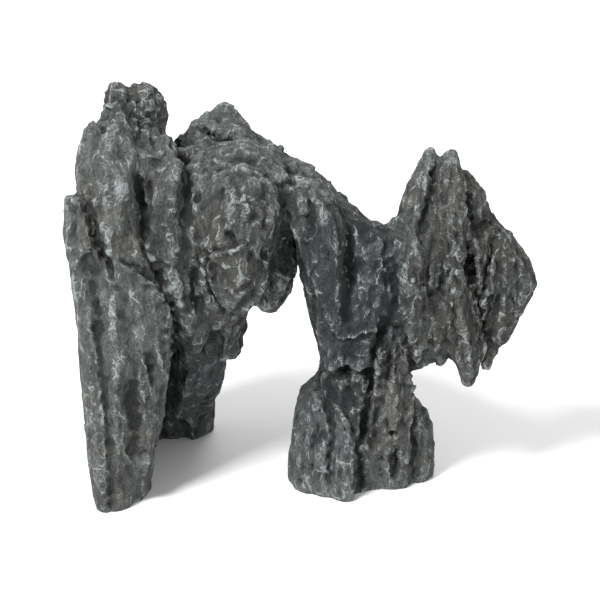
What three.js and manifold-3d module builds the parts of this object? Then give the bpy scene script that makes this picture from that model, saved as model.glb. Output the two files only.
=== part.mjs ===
// An aquascaping rock: a cast stone arch with a fluted left wall, a bridge and a lobed foot, in one piece.
// Millimetres, +X to the right, +Y to the back, +Z up. The origin is on the ground, under the middle.
import * as THREE from "three";
import { mergeVertices } from "three/addons/utils/BufferGeometryUtils.js";
import Module from "manifold-3d";

// Driving dimensions.
const WIDTH = 282;
const DEPTH = 156;
const HEIGHT = 251;
const GROUND = 0;
const SUNK = -12; // where lobes that stand on the ground end, before the ground cuts them flat

// How rough a lobe is, as shares of its own half-width.
const FLUTE = 0.2;
const CHIP = 0.1;
const DOME = 0.45;
const SLIP = 0.24; // how far a corner slides along its lobe, as a share of the way to the next ring

const wasm = await Module();
wasm.setup();

// A repeatable number from -1 to 1 for three whole numbers.
function jitter(seed, a, b) {
  let h = Math.imul(seed + 1, 374761393) ^ Math.imul(a + 7, 668265263) ^ Math.imul(b + 13, 1274126177);
  h = Math.imul(h ^ (h >>> 13), 1103515245);
  h = Math.imul(h ^ (h >>> 16), 2246822519);
  return ((h ^ (h >>> 15)) >>> 0) / 2147483648 - 1;
}

// A closed mesh as a manifold-3d solid.
function solidOf(geometry) {
  geometry.deleteAttribute("normal");
  geometry.deleteAttribute("uv");
  const merged = mergeVertices(geometry, 1e-3);
  return new wasm.Manifold(
    new wasm.Mesh({
      numProp: 3,
      vertProperties: merged.attributes.position.array,
      triVerts: new Uint32Array(merged.index.array),
    }),
  );
}

// One lobe of rock: a fluted, chipped column along stations of [x, y, z, half-width, half-depth], from top to bottom.
// turn is the angle in degrees from +X to the direction of the half-width.
let lobeCount = 0;
function lobe(stations, { turn = 0, sides = 10, flute = FLUTE, chip = CHIP, seed = (lobeCount += 1) } = {}) {
  const spine = new THREE.CatmullRomCurve3(
    stations.map(([x, y, z]) => new THREE.Vector3(x, y, z)),
    false,
    "centripetal",
  );
  const rings = stations.length - 1;
  const geometry = new THREE.CylinderGeometry(1, 1, 1, sides, rings);
  const position = geometry.attributes.position;
  const across = new THREE.Vector3(1, 0, 0).applyAxisAngle(
    new THREE.Vector3(0, 0, 1),
    THREE.MathUtils.degToRad(turn),
  );
  const unit = new THREE.Vector3();
  for (let i = 0; i < position.count; i += 1) {
    unit.fromBufferAttribute(position, i);
    const along = 0.5 - unit.y;
    const ring = Math.round(along * rings);
    const [, , , halfWidth, halfDepth] = stations[ring];
    const centre = spine.getPoint(ring / rings);
    const down = spine.getTangent(ring / rings);
    const side = across.clone().addScaledVector(down, -across.dot(down)).normalize();
    const front = new THREE.Vector3().crossVectors(down, side);
    const spoke = Math.hypot(unit.x, unit.z);
    if (spoke < 0.5) {
      const outward = ring === 0 ? -1 : 1;
      centre.addScaledVector(down, outward * DOME * Math.min(halfWidth, halfDepth));
      position.setXYZ(i, centre.x, centre.y, centre.z);
      continue;
    }
    const angle = Math.atan2(unit.z, unit.x);
    const spot = (Math.round((angle / (2 * Math.PI)) * sides) + sides) % sides;
    const rough = 1 + flute * jitter(seed, spot, 99) + chip * jitter(seed, spot, ring);
    const next = spine.getPoint(Math.min(ring + 1, rings) / rings);
    centre.addScaledVector(down, SLIP * centre.distanceTo(next) * jitter(seed + 50, spot, ring));
    centre.addScaledVector(side, unit.x * halfWidth * rough);
    centre.addScaledVector(front, unit.z * halfDepth * rough);
    position.setXYZ(i, centre.x, centre.y, centre.z);
  }
  return solidOf(geometry);
}

// The long blade at the front left and the broad face beside it.
function blade() {
  return [
    lobe([
      [-137, 0, 184, 3, 5],
      [-134, -4, 176, 7, 10],
      [-131, -8, 161, 9, 15],
      [-127, -12, 141, 10, 20],
      [-122, -16, 107, 11, 24],
      [-122, -18, 82, 12, 26],
      [-120, -18, 49, 12, 28],
      [-118, -18, 19, 12, 29],
      [-115, -17, SUNK, 10, 30],
    ]),
    lobe([
      [-106, -4, 180, 8, 18],
      [-103, -8, 162, 12, 22],
      [-99, -11, 147, 14, 24],
      [-96, -13, 131, 16, 25],
      [-94, -14, 112, 17, 26],
      [-94, -12, 86, 16, 26],
      [-97, -10, 59, 15, 27],
      [-101, -8, 32, 13.5, 29],
      [-103, -3, 4, 12, 28],
      [-105, -3, SUNK, 12, 27],
    ]),
    lobe(
      [
        [-112, -14, 146, 8, 18],
        [-109, -17, 124, 12, 22],
        [-107, -19, 95, 14, 23],
        [-108, -18, 60, 14, 24],
        [-109, -17, 25, 13, 25],
        [-110, -17, SUNK, 12, 25],
      ],
      { seed: 201, chip: 0.06, flute: 0.08 },
    ),
  ];
}

// The tall column behind the blade, with its neck and the crumbly knob on top.
function column() {
  return [
    lobe(
      [
        [-99, 15, 226, 8, 12],
        [-104, 9, 221, 13, 19],
        [-109, 4, 214, 17, 26],
        [-112, 0, 202, 18, 29],
        [-112, -4, 183, 16, 29],
        [-110, -7, 162, 18, 29],
        [-107, -9, 137, 16, 27],
        [-105, -10, 111, 14, 25],
        [-104, -10, 85, 12, 22],
      ],
      { sides: 12 },
    ),
    lobe([
      [-98, 18, 232, 12, 15],
      [-98, 17, 222, 14, 20],
      [-94, 15, 213, 13, 25],
      [-89, 16, 203, 12, 28],
      [-89, 14, 188, 10, 24],
    ]),
    lobe(
      [
        [-97, 18, 243, 10, 12],
        [-95, 18, 238, 14, 17],
        [-96, 18, 232, 14, 18],
        [-96, 18, 226, 14, 18],
      ],
      { flute: 0.18, chip: 0.16 },
    ),
    lobe(
      [
        [-108, 14, 250, 2, 5],
        [-107, 14, 244, 6, 10],
        [-106, 14, 236, 8, 14],
        [-105, 16, 227, 8, 14],
      ],
      { chip: 0.16 },
    ),
    lobe(
      [
        [-85, 22, 241, 2, 6],
        [-84, 22, 235, 4, 10],
        [-84, 22, 229, 5, 11],
        [-85, 20, 222, 6, 12],
      ],
      { chip: 0.16 },
    ),
  ];
}

// The wall that joins the blade to the back leg.
function sideWall() {
  return [
    lobe([
      [-104, 26, 208, 14, 22],
      [-104, 22, 180, 22, 30],
      [-99, 18, 140, 25, 32],
      [-96, 18, 101, 21, 30],
      [-102, 22, 59, 16, 26],
      [-107, 22, 20, 13, 24],
      [-107, 22, SUNK, 13, 22],
    ]),
    lobe([
      [-106, 50, 199, 14, 16],
      [-108, 54, 175, 19, 20],
      [-107, 57, 139, 20, 22],
      [-105, 58, 92, 18, 22],
      [-105, 58, 44, 13, 20],
      [-106, 58, SUNK, 13, 20],
    ]),
  ];
}

// The middle of the left wall: the recessed column, the bulge that ends in the nose, and the plateau over them.
function brow() {
  return [
    lobe([
      [-79, 20, 208, 6, 12],
      [-79, 9, 204, 9, 21],
      [-78, 4, 200, 11, 25],
      [-78, 2, 182, 12, 26],
      [-76, 2, 160, 14, 27],
      [-72, 4, 134, 16, 27],
      [-66, 7, 111, 15, 24],
      [-64, 9, 94, 9, 16],
      [-64, 10, 84, 4, 6],
    ]),
    lobe(
      [
        [-32, 0, 198, 15, 16],
        [-33, -8, 190, 23, 24],
        [-33, -14, 180, 24, 28],
        [-34, -17, 166, 23, 29],
        [-35, -19, 153, 19, 26],
        [-35, -20, 140, 17, 22],
        [-35, -20, 129, 12, 16],
        [-37, -20, 122, 5, 7],
      ],
      { sides: 12 },
    ),
    lobe([
      [-52, 2, 196, 10, 16],
      [-54, -2, 184, 13, 20],
      [-55, -4, 164, 12, 22],
      [-54, -4, 142, 11, 21],
      [-51, -2, 122, 9, 18],
      [-50, 2, 108, 6, 12],
    ]),
    lobe([
      [-14, 14, 150, 11, 18],
      [-13, 14, 137, 11, 18],
      [-13, 14, 126, 9, 14],
      [-18, 14, 117, 8, 10],
      [-22, 13, 110, 6, 6],
    ]),
    lobe([
      [-13, 42, 181, 13, 14],
      [-9, 40, 164, 15, 15],
      [-4, 37, 149, 13, 15],
      [-2, 35, 138, 8, 12],
      [-1, 34, 132, 3, 5],
    ]),
    lobe(
      [
        [-36, 20, 203, 26, 28],
        [-36, 16, 194, 35, 36],
        [-34, 18, 178, 33, 38],
        [-36, 24, 156, 29, 34],
        [-46, 32, 133, 25, 30],
        [-55, 40, 105, 22, 28],
        [-59, 46, 83, 23, 28],
      ],
      { sides: 14 },
    ),
    lobe([
      [-72, 34, 200, 11, 18],
      [-71, 30, 191, 17, 25],
      [-72, 30, 173, 20, 28],
      [-74, 34, 146, 20, 28],
      [-74, 38, 120, 18, 24],
    ]),
  ];
}

// The peak behind the plateau and the ridge that runs down from it over the arch.
function ridge() {
  return [
    lobe(
      [
        [-47, 56, 226, 3, 5],
        [-46, 56, 222, 7, 9],
        [-48, 55, 215, 15, 16],
        [-47, 52, 207, 22, 22],
        [-49, 46, 196, 28, 29],
        [-45, 42, 184, 30, 33],
      ],
      { sides: 12 },
    ),
    lobe([
      [-59, 50, 218, 2, 4],
      [-59, 50, 214, 6, 9],
      [-58, 48, 207, 9, 14],
      [-56, 44, 196, 14, 20],
    ]),
    lobe(
      [
        [-39, 52, 203, 12, 12],
        [-29, 48, 197, 18, 12],
        [-18, 44, 190, 20, 12],
        [-5, 40, 183, 21, 13],
        [7, 36, 176, 22, 13],
        [19, 31, 167, 21, 12],
        [31, 25, 158, 20, 11],
        [44, 18, 150, 18, 10],
        [56, 12, 147, 15, 9],
        [68, 8, 143, 12, 9],
      ],
      { turn: 90 },
    ),
    lobe(
      [
        [-40, 58, 188, 6, 8],
        [-28, 61, 178, 13, 16],
        [-8, 58, 168, 15, 18],
        [10, 52, 156, 15, 18],
        [28, 44, 144, 14, 18],
        [44, 36, 134, 11, 15],
        [58, 30, 128, 5, 7],
      ],
      { turn: 90, sides: 12, flute: 0.26 },
    ),
    lobe(
      [
        [-34, 66, 182, 6, 7],
        [-14, 70, 170, 9, 13],
        [8, 66, 158, 10, 12],
        [30, 56, 149, 8, 11],
        [46, 46, 138, 4, 5],
      ],
      { turn: 90, sides: 9, flute: 0.3, chip: 0.2, seed: 202 },
    ),
    lobe(
      [
        [-4, 6, 186, 8, 7],
        [6, 3, 180, 15, 12],
        [22, 1, 168, 19, 14],
        [40, -1, 154, 19, 13],
        [56, -1, 149, 17, 12],
        [72, 0, 148, 12, 11],
      ],
      { turn: 90 },
    ),
  ];
}

// The back leg, the knee over it and the rib up its back.
function backLeg() {
  return [
    lobe(
      [
        [-60, 44, 106, 19, 28],
        [-58, 50, 88, 21, 30],
        [-61, 56, 70, 19, 30],
        [-66, 66, 46, 17, 28],
        [-71, 79, 22, 17, 20],
        [-73, 87, SUNK, 17, 16],
      ],
      { sides: 12 },
    ),
    lobe([
      [-84, 46, 190, 13, 17],
      [-84, 50, 164, 18, 25],
      [-84, 56, 122, 17, 25],
      [-84, 60, 80, 14, 24],
      [-84, 70, 40, 11, 19],
      [-84, 79, SUNK, 10, 14],
    ]),
    lobe([
      [-44, 42, 96, 8, 14],
      [-43, 42, 82, 7, 12],
      [-42, 42, 73, 7, 9],
      [-43, 42, 67, 4, 5],
    ]),
    lobe(
      [
        [-106, 68, 172, 8, 8],
        [-98, 76, 142, 14, 12],
        [-86, 82, 106, 15, 12],
        [-77, 86, 72, 12, 11],
        [-72, 88, 44, 6, 6],
      ],
      { sides: 9, flute: 0.3, chip: 0.2, seed: 203 },
    ),
    lobe(
      [
        [-118, 34, 196, 6, 10],
        [-123, 36, 170, 9, 17],
        [-125, 38, 135, 9, 19],
        [-121, 36, 100, 8, 16],
        [-117, 34, 76, 5, 8],
      ],
      { sides: 9, flute: 0.3, chip: 0.2, seed: 204 },
    ),
    lobe(
      [
        [-115, 60, 122, 6, 8],
        [-119, 64, 96, 9, 14],
        [-120, 66, 64, 9, 16],
        [-117, 66, 34, 7, 12],
        [-116, 64, 12, 4, 6],
      ],
      { sides: 9, flute: 0.3, chip: 0.2, seed: 205 },
    ),
    lobe(
      [
        [-60, 58, 200, 16, 16],
        [-56, 62, 174, 24, 22],
        [-52, 64, 146, 24, 23],
        [-56, 64, 112, 21, 24],
        [-63, 68, 70, 17, 22],
        [-68, 74, 40, 14, 19],
        [-71, 82, SUNK, 13, 17],
      ],
      { sides: 12, flute: 0.28 },
    ),
  ];
}

// The right leg, from the shoulder of the arch down into the foot.
function rightLeg() {
  return [
    lobe(
      [
        [-8, -6, 193, 5, 8],
        [1, -9, 187, 13, 16],
        [9, -10, 176, 15, 20],
        [14, -8, 159, 14, 22],
        [15, -5, 138, 13, 22],
        [17, -2, 118, 12, 21],
        [20, 0, 99, 11, 20],
        [25, 2, 82, 11, 19],
        [29, 6, 60, 11, 18],
      ],
      { sides: 12 },
    ),
    lobe([
      [42, 2, 163, 8, 13],
      [40, -4, 155, 10, 18],
      [41, -6, 138, 11, 20],
      [44, -4, 118, 11, 19],
      [47, -1, 100, 11, 17],
      [51, 2, 84, 8, 14],
      [53, 4, 74, 4, 8],
    ]),
    lobe([
      [61, 4, 165, 12, 18],
      [62, -3, 153, 13, 20],
      [64, -5, 134, 14, 20],
      [66, -4, 115, 13, 19],
      [68, -1, 97, 12, 17],
      [71, 1, 84, 8, 12],
      [70, 2, 76, 4, 6],
    ]),
    lobe(
      [
        [30, 14, 157, 18, 22],
        [32, 13, 149, 26, 29],
        [36, 12, 132, 31, 32],
        [40, 12, 110, 31, 31],
        [42, 12, 90, 29, 28],
        [38, 14, 71, 27, 26],
        [36, 14, 51, 27, 26],
        [38, 14, 25, 31, 27],
        [38, 16, SUNK, 32, 27],
      ],
      { sides: 14 },
    ),
    lobe([
      [48, 37, 148, 5, 6],
      [49, 40, 138, 13, 12],
      [48, 43, 120, 16, 14],
      [46, 42, 97, 15, 14],
      [43, 40, 75, 14, 12],
      [41, 38, 50, 14, 12],
    ]),
  ];
}

// The three spires at the right.
function spires() {
  return [
    lobe([
      [76, 0, 214, 2, 4],
      [76, 0, 207, 5, 9],
      [73, 0, 197, 8, 13],
      [68, 0, 183, 9, 15],
      [68, 0, 167, 11, 17],
      [69, 2, 147, 11, 17],
    ]),
    lobe([
      [88, -6, 214, 3, 6],
      [88, -7, 207, 6, 10],
      [88, -8, 194, 9, 14],
      [88, -8, 179, 12, 16],
      [88, -7, 163, 12, 17],
      [89, -5, 146, 11, 15],
    ]),
    lobe([
      [98, 2, 200, 2, 4],
      [100, 1, 192, 4, 8],
      [102, 0, 184, 7, 11],
      [104, 0, 175, 8, 12],
      [103, 1, 167, 8, 10],
    ]),
    lobe([
      [84, 0, 198, 6, 9],
      [86, 1, 188, 14, 14],
      [87, 2, 173, 20, 18],
      [91, 3, 153, 26, 22],
      [98, 4, 130, 30, 22],
      [101, 6, 112, 27, 20],
      [101, 6, 98, 19, 16],
      [98, 6, 87, 10, 9],
    ]),
  ];
}

// The shards that hang at the right end.
function shards() {
  return [
    lobe([
      [115, 4, 166, 3, 5],
      [118, 4, 157, 8, 11],
      [121, 4, 146, 12, 14],
      [124, 4, 130, 16, 17],
      [121, 4, 114, 11, 15],
      [119, 4, 99, 8, 12],
      [117, 4, 90, 4, 8],
      [116, 4, 84, 2, 4],
    ]),
    lobe([
      [106, 8, 164, 8, 10],
      [108, 12, 148, 10, 12],
      [111, 12, 128, 10, 13],
      [113, 12, 109, 9, 12],
      [114, 8, 94, 5, 10],
      [114, 6, 84, 4, 7],
      [113, 5, 75, 2, 4],
    ]),
    lobe([
      [91, -12, 146, 4, 6],
      [93, -12, 134, 7, 10],
      [95, -11, 121, 11, 13],
      [98, -9, 107, 12, 14],
      [101, -8, 94, 11, 13],
      [102, -7, 83, 7, 10],
      [102, -6, 74, 5, 7],
      [102, -6, 69, 3, 5],
    ]),
    lobe([
      [84, -4, 128, 7, 12],
      [83, -4, 110, 9, 13],
      [84, -3, 94, 8, 12],
      [85, -2, 85, 5, 8],
      [85, -2, 80, 2, 4],
    ]),
    lobe([
      [94, 30, 168, 10, 10],
      [99, 32, 152, 15, 14],
      [106, 32, 130, 17, 15],
      [109, 28, 109, 14, 13],
      [107, 22, 91, 7, 9],
    ]),
  ];
}

// The lobed foot round the right leg.
function foot() {
  return [
    lobe([
      [20, 3, 82, 4, 6],
      [17, 3, 75, 5, 10],
      [13, 4, 62, 7, 13],
      [8, 7, 49, 9, 20],
      [5, 10, 33, 11, 28],
      [4, 12, 16, 13, 31],
      [4, 12, SUNK, 13, 32],
    ]),
    lobe([
      [21, -14, 57, 3, 6],
      [24, -15, 47, 6, 10],
      [26, -15, 34, 8, 13],
      [26, -14, 18, 9, 16],
      [26, -14, SUNK, 9, 16],
    ]),
    lobe([
      [55, -8, 103, 2, 4],
      [56, -8, 97, 5, 8],
      [57, -8, 86, 9, 12],
      [57, -7, 72, 11, 14],
      [56, -5, 56, 12, 15],
      [55, -3, 42, 13, 16],
      [55, 2, 22, 14, 17],
      [55, 6, SUNK, 15, 17],
    ]),
    lobe([
      [57, 2, 40, 7, 10],
      [57, 3, 32, 11, 14],
      [57, 4, 14, 13, 15],
      [57, 4, SUNK, 13, 15],
    ]),
    lobe([
      [66, 14, 56, 3, 7],
      [68, 14, 47, 6, 14],
      [70, 15, 34, 10, 19],
      [70, 17, 16, 12, 24],
      [70, 18, SUNK, 12, 24],
    ]),
    lobe([
      [30, 4, 78, 8, 10],
      [32, 2, 64, 12, 14],
      [34, 2, 46, 12, 14],
      [36, 2, 25, 10, 13],
      [38, 2, SUNK, 9, 13],
    ]),
    lobe(
      [
        [33, 38, 58, 7, 8],
        [33, 41, 44, 17, 14],
        [33, 43, 24, 25, 18],
        [35, 44, 4, 28, 20],
        [36, 44, SUNK, 28, 20],
      ],
      { sides: 12 },
    ),
    lobe([
      [20, 28, 58, 5, 7],
      [18, 28, 45, 8, 11],
      [16, 30, 22, 11, 14],
      [16, 30, SUNK, 11, 14],
    ]),
    lobe(
      [
        [13, -3, 62, 5, 9],
        [15, -6, 44, 9, 14],
        [16, -8, 20, 10, 16],
        [16, -8, SUNK, 10, 16],
      ],
      { seed: 206, flute: 0.1 },
    ),
  ];
}

// The slots and hollows between the lobes, as lobes to take away.
function hollows() {
  return [
    lobe([
      [-121, -22, 180, 2, 4],
      [-117, -28, 168, 2, 9],
      [-113, -32, 155, 2, 6],
    ]),
    lobe([
      [-118, -30, 164, 1, 4],
      [-112, -36, 150, 3, 9],
      [-105, -40, 136, 1, 4],
    ]),
    lobe([
      [-92, -10, 206, 2, 10],
      [-91, -18, 196, 3, 18],
      [-89, -20, 180, 2, 10],
    ]),
    lobe([
      [-87, -37, 104, 2, 6],
      [-85, -37, 88, 4, 9],
      [-84, -38, 70, 2, 6],
    ]),
    lobe([
      [30, -22, 176, 2, 6],
      [30, -26, 157, 3, 12],
      [32, -24, 134, 2, 8],
    ]),
    lobe([
      [80, -14, 212, 2, 8],
      [76, -14, 196, 3, 12],
      [76, -16, 178, 2, 8],
    ]),
    lobe([
      [96, -12, 163, 2, 8],
      [99, -10, 148, 4, 16],
      [102, -8, 123, 2, 14],
    ]),
    lobe([
      [114, -8, 163, 2, 8],
      [111, -8, 142, 3, 14],
      [113, -6, 111, 2, 10],
    ]),
    lobe([
      [84, -18, 150, 2, 6],
      [85, -18, 138, 2, 10],
      [85, -16, 125, 1, 6],
    ]),
    lobe(
      [
        [17, -13, 75, 4, 3],
        [26, -14, 79, 9, 5],
        [36, -14, 79, 9, 5],
        [45, -13, 76, 5, 3],
      ],
      { turn: 90 },
    ),
    lobe([
      [58, -16, 31, 2, 5],
      [56, -18, 20, 4, 9],
      [55, -18, 8, 2, 5],
    ]),
  ];
}

// The block of ground that cuts the feet flat.
function ground() {
  const block = new THREE.BoxGeometry(2 * WIDTH, 2 * DEPTH, HEIGHT);
  block.translate(0, 0, GROUND - HEIGHT / 2);
  return solidOf(block);
}

// Every lobe joined, the hollows taken away, the feet cut at the ground, and the one large body kept.
function rockSolid() {
  const lobes = [
    ...blade(),
    ...column(),
    ...sideWall(),
    ...brow(),
    ...ridge(),
    ...backLeg(),
    ...rightLeg(),
    ...spires(),
    ...shards(),
    ...foot(),
  ];
  const joined = lobes.reduce((whole, next) => whole.add(next));
  const carved = hollows().reduce((whole, next) => whole.subtract(next), joined).subtract(ground());
  return carved.decompose().sort((a, b) => b.volume() - a.volume())[0];
}

// A manifold-3d solid as a three.js geometry.
function geometryOf(solid) {
  const mesh = solid.getMesh();
  const geometry = new THREE.BufferGeometry();
  geometry.setAttribute("position", new THREE.BufferAttribute(new Float32Array(mesh.vertProperties), 3));
  geometry.setIndex(new THREE.BufferAttribute(new Uint32Array(mesh.triVerts), 1));
  geometry.computeVertexNormals();
  return geometry;
}

const stone = new THREE.MeshStandardMaterial({ color: 0x5b5d5b, roughness: 0.92, metalness: 0 });
const shape = geometryOf(rockSolid());
shape.computeBoundingBox();
const middle = shape.boundingBox.getCenter(new THREE.Vector3());
shape.translate(-middle.x, -middle.y, 0);
const rock = new THREE.Mesh(shape, stone);
rock.name = "rock";

const group = new THREE.Group();
group.add(rock);

export default group;
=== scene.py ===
"""Looks for the aquascaping rock: worn stone with carved grooves, chipped relief and dry-brushed edges."""

import math

import bmesh
import bpy
import numpy as np
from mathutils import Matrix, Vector


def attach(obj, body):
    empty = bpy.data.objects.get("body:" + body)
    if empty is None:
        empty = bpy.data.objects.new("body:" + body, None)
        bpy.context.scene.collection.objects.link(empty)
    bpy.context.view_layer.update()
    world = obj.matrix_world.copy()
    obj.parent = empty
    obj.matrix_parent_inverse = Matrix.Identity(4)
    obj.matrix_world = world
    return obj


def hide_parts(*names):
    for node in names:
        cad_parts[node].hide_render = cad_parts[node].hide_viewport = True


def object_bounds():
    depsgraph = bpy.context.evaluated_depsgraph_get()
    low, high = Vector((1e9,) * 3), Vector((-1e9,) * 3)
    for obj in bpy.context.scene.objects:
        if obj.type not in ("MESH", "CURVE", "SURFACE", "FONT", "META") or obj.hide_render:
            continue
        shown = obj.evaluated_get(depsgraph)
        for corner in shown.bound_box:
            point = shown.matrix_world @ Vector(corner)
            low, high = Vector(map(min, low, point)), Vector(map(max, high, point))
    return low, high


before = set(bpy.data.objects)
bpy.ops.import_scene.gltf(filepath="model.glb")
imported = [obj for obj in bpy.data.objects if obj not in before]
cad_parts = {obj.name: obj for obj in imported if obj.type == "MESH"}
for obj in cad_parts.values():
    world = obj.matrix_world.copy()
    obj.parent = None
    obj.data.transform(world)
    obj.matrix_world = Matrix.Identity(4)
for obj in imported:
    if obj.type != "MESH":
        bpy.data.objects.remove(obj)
cad_low, cad_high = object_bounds()

# Lengths are in metres, except where a name or a comment says mm or pixels.
MM = 0.001

# The view of the photograph. Pixels below are its own, counted from its top left corner.
TILT = math.radians(20)
DISTANCE = 1.2
LOOK_AT = Vector((-0.000623, -0.025144, 0.12))
LENS = 120
SENSOR = 36
FAR_END = 20
PICTURE = 600
TO_CAMERA = np.array([0, -math.cos(TILT), math.sin(TILT)])
PICTURE_UP = np.array([0, math.sin(TILT), math.cos(TILT)])

# The mesh of the stone.
WELDED = 1e-6
ROUGH_VOXEL = 1.0 * MM
FINE_VOXEL = 0.85 * MM
CLOSED_GAP = 1.8 * MM
MOST_TRIANGLES = 196000
SHARE_KEPT_BEHIND = 0.4
GROUND_BAND = 5 * MM
FLAT_BELOW = 0.9 * MM


def photo_camera():
    """The camera at the photograph's angle."""
    back = Vector(TO_CAMERA)
    data = bpy.data.cameras.new("photo_view")
    data.lens = LENS
    data.sensor_width = SENSOR
    data.clip_end = FAR_END
    camera = bpy.data.objects.new("photo_view", data)
    bpy.context.scene.collection.objects.link(camera)
    camera.location = LOOK_AT + back * DISTANCE
    camera.rotation_mode = "QUATERNION"
    camera.rotation_quaternion = (-back).to_track_quat("-Z", "Y")
    bpy.context.scene.camera = camera


# Mesh work on arrays of points

def read(mesh, what, name, width):
    """One array of numbers from a mesh's vertices or edges."""
    items = getattr(mesh, what)
    values = np.empty(len(items) * width, dtype=np.int32 if name == "vertices" else np.float32)
    items.foreach_get(name, values)
    return values.reshape(-1, width)


def normals_of(mesh):
    values = np.empty(len(mesh.vertices) * 3, dtype=np.float32)
    mesh.vertex_normals.foreach_get("vector", values)
    return values.reshape(-1, 3).astype(np.float64)


def points_of(mesh):
    return read(mesh, "vertices", "co", 3).astype(np.float64)


def set_points(mesh, points):
    mesh.vertices.foreach_set("co", points.astype(np.float32).ravel())
    mesh.update()


def put_attribute(mesh, name, values):
    layer = mesh.attributes.new(name, "FLOAT", "POINT")
    layer.data.foreach_set("value", values.astype(np.float32))


class Neighbours:
    """Which points of a mesh share an edge, for smoothing whatever lies on them."""

    def __init__(self, mesh):
        edges = read(mesh, "edges", "vertices", 2)
        self.a, self.b = edges[:, 0], edges[:, 1]
        self.count = len(mesh.vertices)
        share = np.bincount(self.a, minlength=self.count) + np.bincount(self.b, minlength=self.count)
        self.share = np.maximum(share, 1).astype(np.float64)

    def mean(self, values):
        flat = values.reshape(self.count, -1)
        columns = []
        for column in flat.T:
            total = np.bincount(self.a, weights=column[self.b], minlength=self.count)
            total += np.bincount(self.b, weights=column[self.a], minlength=self.count)
            columns.append(total / self.share)
        return np.stack(columns, axis=1).reshape(values.shape)

    def smooth(self, values, times, amount=0.6):
        for _ in range(times):
            values = values + amount * (self.mean(values) - values)
        return values


def smooth(mesh, times):
    set_points(mesh, Neighbours(mesh).smooth(points_of(mesh), times))


def held(mesh, name):
    """A helper object that holds a mesh while a modifier works on it."""
    holder = bpy.data.objects.new(name, mesh)
    bpy.context.scene.collection.objects.link(holder)
    return holder


def applied(holder):
    """The held mesh after its modifier, as a plain mesh. The helper goes, and the modifier with it."""
    depsgraph = bpy.context.evaluated_depsgraph_get()
    result = bpy.data.meshes.new_from_object(holder.evaluated_get(depsgraph))
    holder.modifiers.clear()
    bpy.data.objects.remove(holder)
    return result


def remeshed(mesh, voxel, name):
    """An even mesh of small quads over a closed mesh."""
    holder = held(mesh, name)
    even = holder.modifiers.new("even", "REMESH")
    even.mode = "VOXEL"
    even.voxel_size = voxel
    return applied(holder)


# Where a point falls in the photograph, in its pixels

def to_picture(points):
    ray = points - (np.array(LOOK_AT) + TO_CAMERA * DISTANCE)
    depth = -(ray @ TO_CAMERA)
    scale = PICTURE * LENS / SENSOR / depth
    return PICTURE / 2 + ray[:, 0] * scale, PICTURE / 2 - (ray @ PICTURE_UP) * scale, depth


# What counts as on the surface that the photograph shows.
SEEN_CELL = 4  # pixels across the squares in which the nearest point is looked for
PAST_ALL = 10.0  # a depth behind every point
SEEN_DEPTH = 16 * MM  # how far behind the nearest point others may be
SEEN_FADE = 8 * MM


def seen(mesh):
    """Where the points fall in the picture, and 1 for those that it shows, fading to 0 behind them."""
    x, y, depth = to_picture(points_of(mesh))
    facing = normals_of(mesh) @ TO_CAMERA
    cells_across = PICTURE // SEEN_CELL
    column = np.clip((x / SEEN_CELL).astype(int), 0, cells_across - 1)
    row = np.clip((y / SEEN_CELL).astype(int), 0, cells_across - 1)
    nearest = np.full((cells_across, cells_across), PAST_ALL)
    np.minimum.at(nearest, (row, column), depth)
    behind = depth - nearest[row, column]
    in_front = np.clip((SEEN_DEPTH - behind) / SEEN_FADE, 0, 1)
    turned_here = np.clip((facing + 0.25) / 0.3, 0, 1)
    return x, y, in_front * turned_here


def off_line(x, y, line):
    """How far each point is from a bent line, how far along it, from 0 to 1, and on which side."""
    line = np.array(line, dtype=float)
    steps = np.hypot(*np.diff(line, axis=0).T)
    reach = steps.sum()
    nearest = np.full(len(x), np.inf)
    along = np.zeros(len(x))
    side = np.zeros(len(x))
    gone = 0.0
    for start, end, step in zip(line[:-1], line[1:], steps):
        way = (end - start) / step
        over_x, over_y = x - start[0], y - start[1]
        t = np.clip(over_x * way[0] + over_y * way[1], 0, step)
        distance = np.hypot(over_x - t * way[0], over_y - t * way[1])
        closer = distance < nearest
        nearest = np.where(closer, distance, nearest)
        along = np.where(closer, (gone + t) / reach, along)
        side = np.where(closer, way[0] * over_y - way[1] * over_x, side)
        gone += step
    return nearest, along, side


# What the carver cuts or raises: lines, half-widths in pixels, and depths or heights in mm.

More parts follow.
